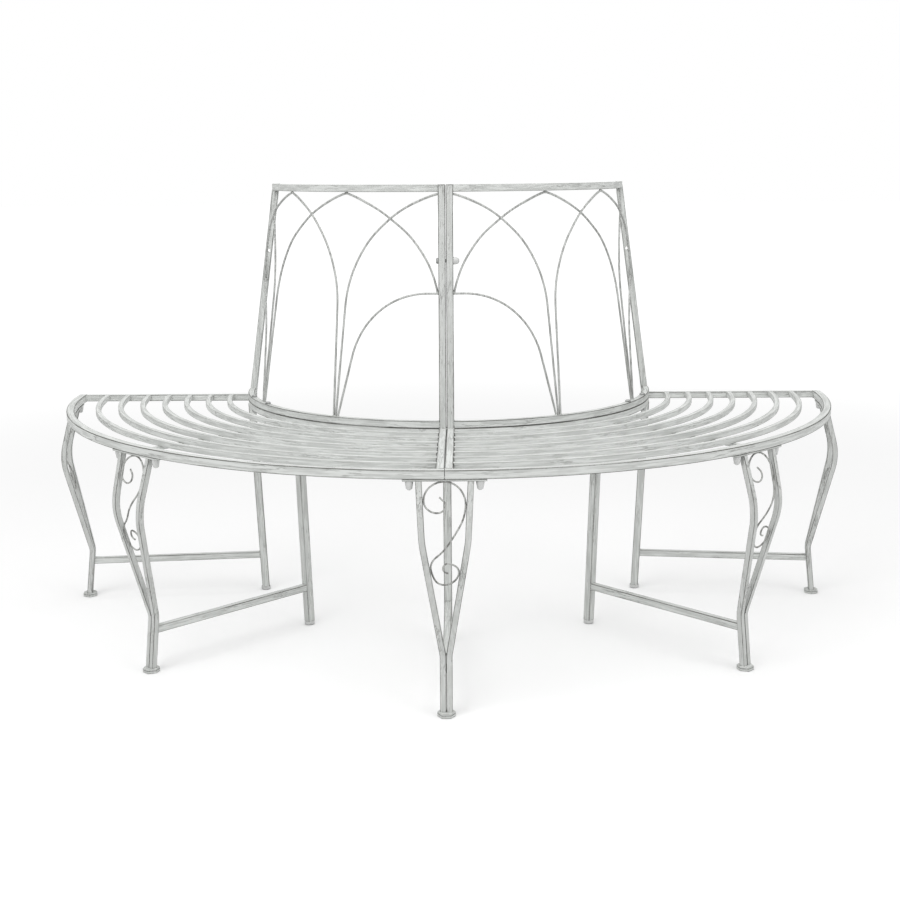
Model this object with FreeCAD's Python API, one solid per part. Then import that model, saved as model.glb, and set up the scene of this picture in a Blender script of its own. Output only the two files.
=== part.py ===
import FreeCAD, Part
import math
import os

# Half-round tree bench: two quarter-round seats, each with a back panel, on five leg frames.
# The origin is on the floor, on the axis of the tree. The bench stands in front of that axis,
# towards -Y, and X runs to its right. An azimuth is in degrees from -Y, positive towards +X.
# A piece of a quarter is drawn for the right-hand one and mirrored for the left-hand one.
# A piece of a leg frame is drawn at azimuth 0, where "across" is X and the radius runs along -Y.

# Overall sizes
SEAT_RADIUS = 775.0
SEAT_HEIGHT = 412.0
BACK_HEIGHT = 845.0
INNER_RAIL_RADIUS = 409.0
BACK_LEAN = 61.5
SEAM_GAP = 1.0

# Tube and bar sections
RAIL_SIZE = 15.0
RAIL_WALL = 1.2
FRAME_SIZE = 13.0
FRAME_WALL = 1.2
SLAT_SIZE = 10.0
SLAT_WALL = 1.0
LEG_TUBE_SIZE = 15.0
LEG_TUBE_WALL = 1.2
LEG_BAR_SIZE = 10.0
MID_BAR_WIDTH = 13.0
MID_BAR_THICKNESS = 5.0
TRACERY_WIRE = 4.0
SCROLL_WIRE = 3.0

# Seat slats, evenly spaced from the first, beside the outer rail, to the last, beside the inner rail
SLAT_COUNT = 7
FIRST_SLAT_INSET = 53.5
LAST_SLAT_INSET = 45.2

# Leg frames; bulge and tuck are outwards and inwards from the middle of the rail above
FRAME_AZIMUTHS = {"left_end": -83.3, "left_mid": -44.0, "centre": 0.0, "right_mid": 44.0, "right_end": 83.3}
MID_BAR_AZIMUTH = FRAME_AZIMUTHS["right_mid"]
PLATE_THICKNESS = 3.0
PLATE_WIDTH = 15.0
PLATE_CORNER = 3.0
PLATE_END_MARGIN = 11.0
CAP_TO_BAR_GAP = 2.8
BAR_SPREAD_TOP = 41.3
BAR_SPREAD_KNEE = 36.4
BAR_GAP_FOOT = 0.4
KNEE_BULGE = 25.5
KNEE_DROP = 94.0
KNEE_BEND = 120.0
ANKLE_TUCK = 19.5
ANKLE_HEIGHT = 100.0
ANKLE_BEND = 40.0
FOOT_TUCK = 9.0
INNER_FOOT_TUCK = 16.0
STRETCHER_HEIGHT = 76.0

# Feet
FOOT_FLATS = 26.0
FOOT_LOWER = 4.2
FOOT_NECK = 0.8
FOOT_UPPER = 3.0
FOOT_NECK_DIAMETER = 22.0
FOOT_BEVEL_HEIGHT = 1.2
FOOT_BEVEL_DIAMETER = 25.2
GLIDE_DIAMETER = 19.5
GLIDE_HEIGHT = 7.0
GLIDE_ROUND = 1.0
GLIDE_STEM = 10.0
GLIDE_CLEARANCE = 0.6

# Scroll between the two leg bars: places across the frame and drops below the top plate
SCROLL_INNER_END = (-8.5, 25.0)
SCROLL_EYE_RIGHT = (1.1, 38.0)
SCROLL_EYE_BOTTOM = (-12.1, 49.0)
SCROLL_UPPER_LEFT_DROP = 31.0
SCROLL_TOP_ACROSS = -1.0
SCROLL_UPPER_RIGHT_DROP = 38.0
SCROLL_DIAGONAL = (4.1, 99.0)
SCROLL_DIAGONAL_HEADING = -123.0
SCROLL_LOWER_LEFT_DROP = 141.0
SCROLL_BOTTOM = (-2.0, 167.0)
SCROLL_LOWER_RIGHT_DROP = 147.0
SCROLL_CURL_TOP = (3.8, 130.0)
SCROLL_CURL_LEFT = (-3.5, 139.0)
SCROLL_OUTER_END = (5.0, 146.5)
SCROLL_INNER_END_HEADING = -45.0

# Back panel and its tracery; feet, crowns and steps are in degrees round the panel
JOINING_HOLE_DROP = 135.0
TRACERY_FOOT_SEAM_SIDE = 30.2
TRACERY_FOOT_END_SIDE = 63.3
TRACERY_FOOT_GAP = 0.6
TALL_SPRING_DROP = 205.3
TALL_SPRING_STEP = 1.0
CROWN_SEAM_SIDE = 31.6
CROWN_END_SIDE = 56.6
CROWN_SLOPE = 15.1
FALL_END_SLOPE = 78.2
POST_END_RISE = 1.4
POST_END_SLOPE = 10.0
LOW_SPRING_RISE = 110.3
LOW_SPRING_STEP = 3.4
LOW_CROWN_RISE = 227.0
LOW_CROWN_FROM_POST = 5.0

# Bolts, nuts and caps
BOLT_DIAMETER = 6.0
BOLT_CLEARANCE = 0.4
JOINING_CLEARANCE = 1.0
HEX_FLATS = 10.0
HEX_HEAD_HEIGHT = 4.0
NUT_HEIGHT = 5.0
PAN_HEAD_DIAMETER = 11.0
PAN_HEAD_HEIGHT = 4.0
PAN_HEAD_EDGE = 1.6
THREAD_PAST_WALL = 5.0
THREAD_PAST_NUT = 1.5
PANEL_BOLT_AZIMUTHS = (59.0, 72.0)
CAP_LENGTH = 15.0
SEAM_CAP_LENGTH = 11.0
CAP_WALL = 1.0
CAP_CLEARANCE = 0.1
CAP_SKIRT_TAPER = 0.5
CAP_SKIRT_SPARE = 0.5
CAP_TIP_TAPER = 1.9
CAP_DOME_HEIGHT = 2.0
CAP_DOME_INSET = 4.5

# Clearances, working lengths and how often the bends of a tracery wire are halved
WELD_GAP = 0.1
STATION_ROUNDS = 2
REACH = 2000.0
OVERRUN = 20.0

ORIGIN = FreeCAD.Vector(0, 0, 0)
ACROSS = FreeCAD.Vector(1, 0, 0)
UP = FreeCAD.Vector(0, 0, 1)

# Heights, radii and fits that follow from the sizes above
RAIL_CENTRE_RADIUS = SEAT_RADIUS - RAIL_SIZE / 2
RAIL_INNER_FACE = SEAT_RADIUS - RAIL_SIZE
RAIL_UNDERSIDE = SEAT_HEIGHT - RAIL_SIZE
INNER_RAIL_OUTER_FACE = INNER_RAIL_RADIUS + FRAME_SIZE / 2
INNER_RAIL_UNDERSIDE = SEAT_HEIGHT - FRAME_SIZE
SLAT_UNDERSIDE = SEAT_HEIGHT - SLAT_SIZE
FIRST_SLAT_RADIUS = RAIL_CENTRE_RADIUS - FIRST_SLAT_INSET
LAST_SLAT_RADIUS = INNER_RAIL_RADIUS + LAST_SLAT_INSET
SLAT_PITCH = (FIRST_SLAT_RADIUS - LAST_SLAT_RADIUS) / (SLAT_COUNT - 1)
BOLT_HOLE = BOLT_DIAMETER + BOLT_CLEARANCE
JOINING_HOLE = BOLT_DIAMETER + JOINING_CLEARANCE
HEX_CORNER_RADIUS = HEX_FLATS / math.sqrt(3)
CAP_MOUTH_RADIUS = HEX_CORNER_RADIUS + CAP_CLEARANCE + CAP_WALL
CAP_SKIRT_LENGTH = NUT_HEIGHT + CAP_SKIRT_SPARE
PLATE_UNDERSIDE = RAIL_UNDERSIDE - PLATE_THICKNESS
PLATE_BOLT_SPREAD = BAR_SPREAD_TOP + LEG_BAR_SIZE / 2 + CAP_TO_BAR_GAP + CAP_MOUTH_RADIUS
PLATE_LENGTH = 2 * (PLATE_BOLT_SPREAD + PLATE_END_MARGIN)
PLATE_RADIUS = math.sqrt(RAIL_CENTRE_RADIUS**2 - PLATE_BOLT_SPREAD**2)
KNEE_RADIUS = RAIL_CENTRE_RADIUS + KNEE_BULGE
KNEE_HEIGHT = PLATE_UNDERSIDE - KNEE_DROP
ANKLE_RADIUS = RAIL_CENTRE_RADIUS - ANKLE_TUCK
FOOT_RADIUS = RAIL_CENTRE_RADIUS - FOOT_TUCK
FOOT_HEIGHT = FOOT_LOWER + FOOT_NECK + FOOT_UPPER
BAR_SPREAD_FOOT = (LEG_BAR_SIZE + BAR_GAP_FOOT) / 2
INNER_FOOT_RADIUS = INNER_RAIL_RADIUS - INNER_FOOT_TUCK
BACK_TOP_RADIUS = INNER_RAIL_RADIUS - BACK_LEAN
BACK_MIDDLE_RADIUS = INNER_RAIL_RADIUS - BACK_LEAN / 2
BACK_SLOPE = BACK_LEAN / (BACK_HEIGHT - SEAT_HEIGHT)
BACK_LEAN_COSINE = math.cos(math.atan(BACK_SLOPE))
JOINING_HOLE_HEIGHT = BACK_HEIGHT - JOINING_HOLE_DROP
BOTTOM_RAIL_TOP = SEAT_HEIGHT + FRAME_SIZE
TRACERY_LAYER = (TRACERY_WIRE + WELD_GAP) / 2
CROWN_HALF_DEPTH = TRACERY_WIRE / 2 / math.cos(math.radians(CROWN_SLOPE))
TALL_CROWN_HEIGHT = BACK_HEIGHT - FRAME_SIZE - WELD_GAP - CROWN_HALF_DEPTH
TALL_SPRING_HEIGHT = TALL_CROWN_HEIGHT - TALL_SPRING_DROP
LOW_SPRING_HEIGHT = BOTTOM_RAIL_TOP + LOW_SPRING_RISE
LOW_CROWN_HEIGHT = BOTTOM_RAIL_TOP + LOW_CROWN_RISE
FALL_END_HEIGHT = LOW_CROWN_HEIGHT + TRACERY_WIRE
TRACERY_FOOT_STEP = math.degrees((TRACERY_WIRE + TRACERY_FOOT_GAP) / INNER_RAIL_RADIUS)


# General helpers

def single(shape):
    """The one closed solid that a piece must be."""
    if len(shape.Solids) != 1:
        raise ValueError("a piece came out as %d solids" % len(shape.Solids))
    return shape.Solids[0]


def box(x_low, x_high, y_low, y_high, z_low, z_high):
    corner = FreeCAD.Vector(x_low, y_low, z_low)
    return Part.makeBox(x_high - x_low, y_high - y_low, z_high - z_low, corner)


def at_azimuth(shape, azimuth):
    return shape.rotated(ORIGIN, UP, azimuth)


def mirrored(shape):
    return shape.mirror(ORIGIN, ACROSS)


def disc(radius, z_low, z_high):
    """A solid disc about the tree's axis, with its edge seam behind the bench."""
    solid = Part.makeCylinder(radius, z_high - z_low, FreeCAD.Vector(0, 0, z_low), UP)
    return at_azimuth(solid, 90)


def ring_tube(middle_radius, size, z_low, wall):
    """A square tube bent to a full circle."""
    inner = middle_radius - size / 2
    outer = middle_radius + size / 2
    skin = disc(outer, z_low, z_low + size).cut(disc(inner, z_low, z_low + size))
    floor = z_low + wall
    ceiling = z_low + size - wall
    hollow = disc(outer - wall, floor, ceiling).cut(disc(inner + wall, floor, ceiling))
    return skin.cut(hollow)


def quarter_space(margin):
    """All that lies in the right-hand quarter, a margin in from its two straight sides."""
    return box(SEAM_GAP / 2 + margin, REACH, -REACH, -margin, -REACH, REACH)


def straight_tube(x_low, x_high, y_low, y_high, z_low, z_high, wall):
    """A square tube along Y, open at both ends."""
    outside = box(x_low, x_high, y_low, y_high, z_low, z_high)
    hollow = box(x_low + wall, x_high - wall, y_low, y_high, z_low + wall, z_high - wall)
    return outside.cut(hollow)


def vertical_pin(x, y, diameter, z_low, z_high):
    return Part.makeCylinder(diameter / 2, z_high - z_low, FreeCAD.Vector(x, y, z_low), UP)


def hex_prism(flats, z_low, z_high):
    """A six-sided prism on the Z axis, with two of its flats facing along Y."""
    corner = FreeCAD.Vector(flats / math.sqrt(3), 0, z_low)
    corners = [FreeCAD.Rotation(UP, 60 * side).multVec(corner) for side in range(7)]
    return Part.Face(Part.makePolygon(corners)).extrude(UP * (z_high - z_low))


def turned_profile(outline):
    """A solid turned about the Z axis from an outline of (radius, height) points."""
    corners = [FreeCAD.Vector(radius, 0, height) for radius, height in outline]
    face = Part.Face(Part.makePolygon(corners + corners[:1]))
    return face.revolve(ORIGIN, UP, 360)


def leaning_prism(low, high, size, across_low, across_high):
    """A square bar that leans in the radial direction, cut level at both (radius, height) ends."""
    lean = math.atan2(high[0] - low[0], high[1] - low[1])
    half = size / 2 / math.cos(lean)
    outline = [
        (low[0] - half, low[1]),
        (low[0] + half, low[1]),
        (high[0] + half, high[1]),
        (high[0] - half, high[1]),
    ]
    corners = [FreeCAD.Vector(across_low, -radius, height) for radius, height in outline]
    face = Part.Face(Part.makePolygon(corners + corners[:1]))
    return face.extrude(ACROSS * (across_high - across_low))


def rounded_path(points, bends):
    """Straight runs through the points, with an arc of the given radius at each inner point."""
    edges = []
    start = points[0]
    for before, corner, after, radius in zip(points, points[1:], points[2:], bends):
        back = (before - corner).normalize()
        onward = (after - corner).normalize()
        half_turn = (math.pi - back.getAngle(onward)) / 2
        reach = radius * math.tan(half_turn)
        middle_offset = radius / math.cos(half_turn) - radius
        middle = corner + (back + onward).normalize() * middle_offset
        edges.append(Part.LineSegment(start, corner + back * reach).toShape())
        edges.append(Part.Arc(corner + back * reach, middle, corner + onward * reach).toShape())
        start = corner + onward * reach
    edges.append(Part.LineSegment(start, points[-1]).toShape())
    return Part.Wire(edges)


def arc_leaving(start, heading, end):
    """The arc from start to end that leaves start along a heading."""
    chord = end - start
    half_turn = heading.getAngle(chord)
    rise = (heading * (chord.Length / 2 / math.cos(half_turn)) - chord / 2).normalize()
    middle = start + chord / 2 + rise * (chord.Length / 2 * math.tan(half_turn / 2))
    return Part.Arc(start, middle, end).toShape()


def arc_joint(start, end, leave, arrive):
    """Where two tangent arcs from start to end meet, and their heading there."""
    chord = end - start
    spare = 2 * (1 - leave.dot(arrive))
    along = chord.dot(leave + arrive)
    arm = (math.sqrt(along**2 + spare * chord.dot(chord)) - along) / spare
    before = start + leave * arm
    after = end - arrive * arm
    return (before + after) / 2, (after - before).normalize()


def smooth_arcs(points, headings):
    """Two tangent arcs between each pair of neighbouring points, along the given headings."""
    edges = []
    for start, end, leave, arrive in zip(points, points[1:], headings, headings[1:]):
        joint, _ = arc_joint(start, end, leave, arrive)
        edges.append(arc_leaving(start, leave, joint))
        edges.append(arc_leaving(end, arrive * -1, joint))
    return edges


def offset_band(path, width):
    """The flat face that a flat path draws when it is as wide as this."""
    side = path.makeOffset2D(-width / 2, 0, False, True)
    return side.makeOffset2D(width, 0, True, True)


def round_wire(edges, start, heading, diameter):
    """A round wire along a chain of tangent edges."""
    section = Part.Wire(Part.makeCircle(diameter / 2, start, heading))
    path = Part.Wire(Part.__sortEdges__(edges))
    return path.makePipeShell([section], True, False)


# Seat

def plate_bolt_places():
    """Across and radial places of the bolts of each leg frame, turned to its azimuth."""
    places = []
    for azimuth in FRAME_AZIMUTHS.values():
        for side in (-1, 1):
            spot = FreeCAD.Vector(side * PLATE_BOLT_SPREAD, -PLATE_RADIUS, 0)
            turn = FreeCAD.Rotation(UP, azimuth)
            places.append(turn.multVec(spot))
    return places


def panel_bolt_places():
    """Places of the bolts that hold the right-hand back panel down on the seat."""
    places = []
    for azimuth in PANEL_BOLT_AZIMUTHS:
        angle = math.radians(azimuth)
        places.append(FreeCAD.Vector(math.sin(angle), -math.cos(angle), 0) * INNER_RAIL_RADIUS)
    return places


def drilled(shape, places, z_low, z_high):
    for place in places:
        shape = shape.cut(vertical_pin(place.x, place.y, BOLT_HOLE, z_low, z_high))
    return shape


def seat_outer_rail():
    rail = ring_tube(RAIL_CENTRE_RADIUS, RAIL_SIZE, RAIL_UNDERSIDE, RAIL_WALL)
    rail = rail.common(quarter_space(0))
    wall_top = RAIL_UNDERSIDE + RAIL_WALL * 2
    return single(drilled(rail, plate_bolt_places(), PLATE_UNDERSIDE, wall_top))


def seat_inner_rail():
    rail = ring_tube(INNER_RAIL_RADIUS, FRAME_SIZE, INNER_RAIL_UNDERSIDE, FRAME_WALL)
    rail = rail.common(quarter_space(0))
    return single(drilled(rail, panel_bolt_places(), 0, BACK_HEIGHT))


def between_seat_rails(shape):
    shape = shape.common(disc(RAIL_INNER_FACE, 0, BACK_HEIGHT))
    return shape.cut(disc(INNER_RAIL_OUTER_FACE, 0, BACK_HEIGHT))


def seat_seam_rail():
    left = SEAM_GAP / 2
    tube = straight_tube(
        left, left + FRAME_SIZE, -SEAT_RADIUS, 0, INNER_RAIL_UNDERSIDE, SEAT_HEIGHT, FRAME_WALL
    )
    return single(between_seat_rails(tube))


def seat_end_rail():
    tube = straight_tube(
        -FRAME_SIZE, 0, -SEAT_RADIUS, 0, INNER_RAIL_UNDERSIDE, SEAT_HEIGHT, FRAME_WALL
    )
    return single(between_seat_rails(at_azimuth(tube, 90)))


def seat_slat(number):
    radius = FIRST_SLAT_RADIUS - number * SLAT_PITCH
    slat = ring_tube(radius, SLAT_SIZE, SLAT_UNDERSIDE, SLAT_WALL)
    return single(slat.common(quarter_space(FRAME_SIZE)))


def seat_mid_bar():
    half = MID_BAR_WIDTH / 2
    bottom = SLAT_UNDERSIDE - MID_BAR_THICKNESS
    bar = box(-half, half, -SEAT_RADIUS, 0, bottom, SLAT_UNDERSIDE)
    bar = between_seat_rails(bar).cut(inner_leg_envelope())
    return single(at_azimuth(bar, MID_BAR_AZIMUTH))


# Back panel

def back_radius(height):
    """Radius of the middle of the back, which leans in towards the tree as it rises."""
    share = (height - SEAT_HEIGHT) / (BACK_HEIGHT - SEAT_HEIGHT)
    return INNER_RAIL_RADIUS + (BACK_TOP_RADIUS - INNER_RAIL_RADIUS) * share


def back_post(across_low):
    """A leaning post with a closed top and a hole across it for the joining bolt."""
    across_high = across_low + FRAME_SIZE
    foot = (INNER_RAIL_RADIUS, SEAT_HEIGHT)
    head = (BACK_TOP_RADIUS, BACK_HEIGHT)
    ceiling = (back_radius(BACK_HEIGHT - FRAME_WALL), BACK_HEIGHT - FRAME_WALL)
    outside = leaning_prism(foot, head, FRAME_SIZE, across_low, across_high)
    room = FRAME_SIZE - 2 * FRAME_WALL
    hollow = leaning_prism(foot, ceiling, room, across_low + FRAME_WALL, across_high - FRAME_WALL)
    hole_radius = back_radius(JOINING_HOLE_HEIGHT)
    hole_start = FreeCAD.Vector(across_low - OVERRUN, -hole_radius, JOINING_HOLE_HEIGHT)
    hole = Part.makeCylinder(JOINING_HOLE / 2, FRAME_SIZE + 2 * OVERRUN, hole_start, ACROSS)
    return outside.cut(hollow).cut(hole)


def back_seam_post():
    return single(back_post(SEAM_GAP / 2))


def back_end_post():
    return single(at_azimuth(back_post(-FRAME_SIZE), 90))


def back_bottom_rail():
    rail = ring_tube(INNER_RAIL_RADIUS, FRAME_SIZE, SEAT_HEIGHT, FRAME_WALL)
    rail = rail.common(quarter_space(FRAME_SIZE))
    return single(drilled(rail, panel_bolt_places(), 0, BACK_HEIGHT))


def back_top_rail():
    rail = ring_tube(BACK_TOP_RADIUS, FRAME_SIZE, BACK_HEIGHT - FRAME_SIZE, FRAME_WALL)
    return single(rail.common(quarter_space(FRAME_SIZE)))


# Tracery: wires rise straight from the bottom rail and bend over into pointed arches

def tracery_point(azimuth, height, layer):
    radius = back_radius(height) + layer
    angle = math.radians(azimuth)
    return FreeCAD.Vector(radius * math.sin(angle), -radius * math.cos(angle), height)


def tracery_heading(azimuth, slope, way):
    """Heading along the panel, with the slope up from level and the way round it, 1 or -1."""
    angle = math.radians(azimuth)
    outward = FreeCAD.Vector(math.sin(angle), -math.cos(angle), 0)
    along = FreeCAD.Vector(math.cos(angle), math.sin(angle), 0) * way
    up = (UP - outward * BACK_SLOPE).normalize()
    rise = math.radians(slope)
    return along * math.cos(rise) + up * math.sin(rise)


def flat_point(azimuth, height, way):
    """A place on the panel laid flat, along it and up it."""
    return FreeCAD.Vector(way * math.radians(azimuth) * BACK_MIDDLE_RADIUS, height / BACK_LEAN_COSINE, 0)


def flat_heading(slope):
    rise = math.radians(slope)
    return FreeCAD.Vector(math.cos(rise), math.sin(rise), 0)


def flat_slope(heading):
    return math.degrees(math.atan2(heading.y, heading.x))


def halfway_station(start, end, way):
    """The station halfway along a bend, found on the panel laid flat."""
    places = [flat_point(azimuth, height, way) for azimuth, height, _ in (start, end)]
    headings = [flat_heading(slope) for _, _, slope in (start, end)]
    joint, heading = arc_joint(*places, *headings)
    azimuth = way * math.degrees(joint.x / BACK_MIDDLE_RADIUS)
    return azimuth, joint.y * BACK_LEAN_COSINE, flat_slope(heading)


def closer_stations(stations, way):
    """The stations with one more halfway along each bend, to keep a wire to the panel."""
    closer = stations[:1]
    for start, end in zip(stations, stations[1:]):
        if start[2] != end[2]:
            closer.append(halfway_station(start, end, way))
        closer.append(end)
    return closer


def tracery_wire(stations, way, layer, lead):
    """A wire through stations, each an azimuth, a height and a slope.

    It starts straight, at the lead place, and runs straight on a little at its end.
    """
    for _ in range(STATION_ROUNDS):
        stations = closer_stations(stations, way)
    points = [tracery_point(azimuth, height, layer) for azimuth, height, _ in stations]
    headings = [tracery_heading(azimuth, slope, way) for azimuth, _, slope in stations]
    headings[0] = (points[0] - lead).normalize()
    past = points[-1] + headings[-1] * TRACERY_WIRE
    edges = [Part.LineSegment(lead, points[0]).toShape()] + smooth_arcs(points, headings)
    edges.append(Part.LineSegment(points[-1], past).toShape())
    return round_wire(edges, lead, headings[0], TRACERY_WIRE)


def rising_wire(foot, way, spring, stations, layer):
    """A wire from the bottom rail, straight to the springing and then through the stations.

    The springing is a step round the panel and a height.
    """
    azimuth = foot + way * spring[0]
    upright = flat_point(azimuth, spring[1], way) - flat_point(foot, BOTTOM_RAIL_TOP, way)
    base = tracery_point(foot, BOTTOM_RAIL_TOP, layer)
    straight = (tracery_point(azimuth, spring[1], layer) - base).normalize()
    springing = (azimuth, spring[1], flat_slope(upright))
    return tracery_wire([springing] + stations, way, layer, base - straight * TRACERY_WIRE)


def low_arch(foot, way, layer):
    """A half arch that runs level into the nearer post."""
    post = 0 if way < 0 else 90
    crown = post - way * LOW_CROWN_FROM_POST
    stations = [(crown, LOW_CROWN_HEIGHT, 0), (post, LOW_CROWN_HEIGHT, 0)]
    return rising_wire(foot, way, (LOW_SPRING_STEP, LOW_SPRING_HEIGHT), stations, layer)


def tall_half_arch(foot, way, layer):
    """A half arch that meets the nearer post close under the top rail."""
    post = 0 if way < 0 else 90
    end = (post, TALL_CROWN_HEIGHT + POST_END_RISE, POST_END_SLOPE)
    return rising_wire(foot, way, (TALL_SPRING_STEP, TALL_SPRING_HEIGHT), [end], layer)


def beside_crown(crown, side):
    """The space on one side of a crown: side 1 towards the end post, -1 towards the seam."""
    low, high = (WELD_GAP / 2, REACH) if side > 0 else (-REACH, -WELD_GAP / 2)
    return at_azimuth(box(low, high, -REACH, 0, 0, REACH), crown)


def crown_azimuth(way):
    return CROWN_SEAM_SIDE if way < 0 else CROWN_END_SIDE


def wire_to_crown(foot, way, layer):
    """The rising half of a pointed arch, mitred at the crown."""
    crown = crown_azimuth(way)
    spring = (TALL_SPRING_STEP, TALL_SPRING_HEIGHT)
    wire = rising_wire(foot, way, spring, [(crown, TALL_CROWN_HEIGHT, CROWN_SLOPE)], layer)
    return wire.common(beside_crown(crown, -way))


def post_side_azimuth(way, layer):
    """Azimuth at which a falling wire lies against the farther post, at the height of its end."""
    radius = back_radius(FALL_END_HEIGHT) + layer
    clear = FRAME_SIZE + TRACERY_WIRE / 2 + WELD_GAP
    if way < 0:
        return math.degrees(math.asin((SEAM_GAP / 2 + clear) / radius))
    return 90 - math.degrees(math.asin(clear / radius))


def wire_from_crown(way, layer):
    """The falling half of a pointed arch, down to where the low arch meets the farther post."""
    crown = crown_azimuth(way)
    end = post_side_azimuth(way, layer)
    stations = [(crown, TALL_CROWN_HEIGHT, -CROWN_SLOPE), (end, FALL_END_HEIGHT, -FALL_END_SLOPE)]
    before = tracery_heading(crown, -CROWN_SLOPE, way) * TRACERY_WIRE
    lead = tracery_point(crown, TALL_CROWN_HEIGHT, layer) - before
    return tracery_wire(stations, way, layer, lead).common(beside_crown(crown, way))


def back_tracery():
    """Three wires rise from each of two feet, and those of one foot pass in front of the others."""
    wires = []
    feet = ((TRACERY_FOOT_SEAM_SIDE, -1, TRACERY_LAYER), (TRACERY_FOOT_END_SIDE, 1, -TRACERY_LAYER))
    for foot, way, layer in feet:
        wires.append(low_arch(foot + way * TRACERY_FOOT_STEP, way, layer))
        wires.append(tall_half_arch(foot, way, layer))
        wires.append(wire_to_crown(foot - way * TRACERY_FOOT_STEP, -way, layer))
        wires.append(wire_from_crown(-way, layer))
    side = SEAM_GAP / 2 + FRAME_SIZE
    bay = box(side, REACH, -REACH, -FRAME_SIZE, BOTTOM_RAIL_TOP, REACH)
    return Part.makeCompound([single(wire.common(bay)) for wire in wires])


# Leg frames, drawn at azimuth 0

def overrun_ends(points):
    """The points with both ends carried on, so that a level cut can trim them."""
    first = points[0] + (points[0] - points[1]).normalize() * OVERRUN
    last = points[-1] + (points[-1] - points[-2]).normalize() * OVERRUN
    return [first] + points[1:-1] + [last]


def leg_side_band():
    """The outer leg as seen from the side, drawn out across the whole frame."""
    outline = [
        (RAIL_CENTRE_RADIUS, PLATE_UNDERSIDE),
        (KNEE_RADIUS, KNEE_HEIGHT),
        (ANKLE_RADIUS, ANKLE_HEIGHT),
        (FOOT_RADIUS, FOOT_HEIGHT),
    ]
    points = [FreeCAD.Vector(0, -radius, height) for radius, height in outline]
    path = rounded_path(overrun_ends(points), (KNEE_BEND, ANKLE_BEND))
    band = offset_band(path, LEG_BAR_SIZE)
    return band.translated(ACROSS * -PLATE_LENGTH).extrude(ACROSS * 2 * PLATE_LENGTH)


def leg_front_band():
    """The right-hand bar of the outer leg as seen from the front, drawn out along the radius."""
    outline = [
        (BAR_SPREAD_TOP, PLATE_UNDERSIDE),
        (BAR_SPREAD_KNEE, KNEE_HEIGHT),
        (BAR_SPREAD_FOOT, ANKLE_HEIGHT),
        (BAR_SPREAD_FOOT, FOOT_HEIGHT),
    ]
    points = [FreeCAD.Vector(across, 0, height) for across, height in outline]
    path = rounded_path(overrun_ends(points), (KNEE_BEND, ANKLE_BEND))
    band = offset_band(path, LEG_BAR_SIZE)
    return band.extrude(FreeCAD.Vector(0, -REACH, 0))


def outer_leg():
    level = box(-REACH, REACH, -REACH, REACH, FOOT_HEIGHT, PLATE_UNDERSIDE)
    bar = single(leg_side_band().common(leg_front_band()).common(level))
    return Part.makeCompound([bar, mirrored(bar)])


def inner_leg_line():
    return (INNER_FOOT_RADIUS, GLIDE_HEIGHT), (INNER_RAIL_RADIUS, INNER_RAIL_UNDERSIDE)


def inner_leg_envelope():
    low, high = inner_leg_line()
    return leaning_prism(low, high, LEG_TUBE_SIZE, -LEG_TUBE_SIZE / 2, LEG_TUBE_SIZE / 2)


def inner_leg():
    low, high = inner_leg_line()
    room = LEG_TUBE_SIZE - 2 * LEG_TUBE_WALL
    return single(inner_leg_envelope().cut(leaning_prism(low, high, room, -room / 2, room / 2)))


def stretcher():
    half = FRAME_SIZE / 2
    low = STRETCHER_HEIGHT - half
    high = STRETCHER_HEIGHT + half
    tube = straight_tube(-half, half, -ANKLE_RADIUS, -INNER_FOOT_RADIUS, low, high, FRAME_WALL)
    return single(tube.cut(leg_side_band()).cut(inner_leg_envelope()))


def along_bars(height, top, knee, ankle):
    """A measure of the leg bars at a height, from its values at the plate, the knee and the ankle."""
    if height > KNEE_HEIGHT:
        share = (height - KNEE_HEIGHT) / KNEE_DROP
        return knee + (top - knee) * share
    share = (height - ANKLE_HEIGHT) / (KNEE_HEIGHT - ANKLE_HEIGHT)
    return ankle + (knee - ankle) * share


def bars_radius(height):
    return along_bars(height, RAIL_CENTRE_RADIUS, KNEE_RADIUS, ANKLE_RADIUS)


def bars_spread(height):
    return along_bars(height, BAR_SPREAD_TOP, BAR_SPREAD_KNEE, BAR_SPREAD_FOOT)


def bar_touch(drop, side):
    """Where the scroll lies against the inner side of a bar: across, drop and the bar's slope."""
    height = PLATE_UNDERSIDE - drop
    spread = bars_spread(height)
    lean = math.atan(bars_spread(height + 1) - spread)
    across = spread - (LEG_BAR_SIZE / 2 + WELD_GAP + SCROLL_WIRE / 2) / math.cos(lean)
    return side * across, drop, 90 - side * math.degrees(lean)


def scroll_stations():
    """Across, drop and heading of the points where the scroll touches or turns."""
    upper_left = bar_touch(SCROLL_UPPER_LEFT_DROP, -1)
    upper_right = bar_touch(SCROLL_UPPER_RIGHT_DROP, 1)
    lower_left = bar_touch(SCROLL_LOWER_LEFT_DROP, -1)
    lower_right = bar_touch(SCROLL_LOWER_RIGHT_DROP, 1)
    return [
        SCROLL_INNER_END + (SCROLL_INNER_END_HEADING,),
        SCROLL_EYE_RIGHT + (-90,),
        SCROLL_EYE_BOTTOM + (180,),
        upper_left,
        (SCROLL_TOP_ACROSS, SCROLL_WIRE / 2 + WELD_GAP, 0),
        upper_right[:2] + (upper_right[2] - 180,),
        SCROLL_DIAGONAL + (SCROLL_DIAGONAL_HEADING,),
        lower_left[:2] + (lower_left[2] - 180,),
        SCROLL_BOTTOM + (0,),
        lower_right,
        SCROLL_CURL_TOP + (180,),
        SCROLL_CURL_LEFT + (-90,),
        SCROLL_OUTER_END + (0,),
    ]


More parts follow.
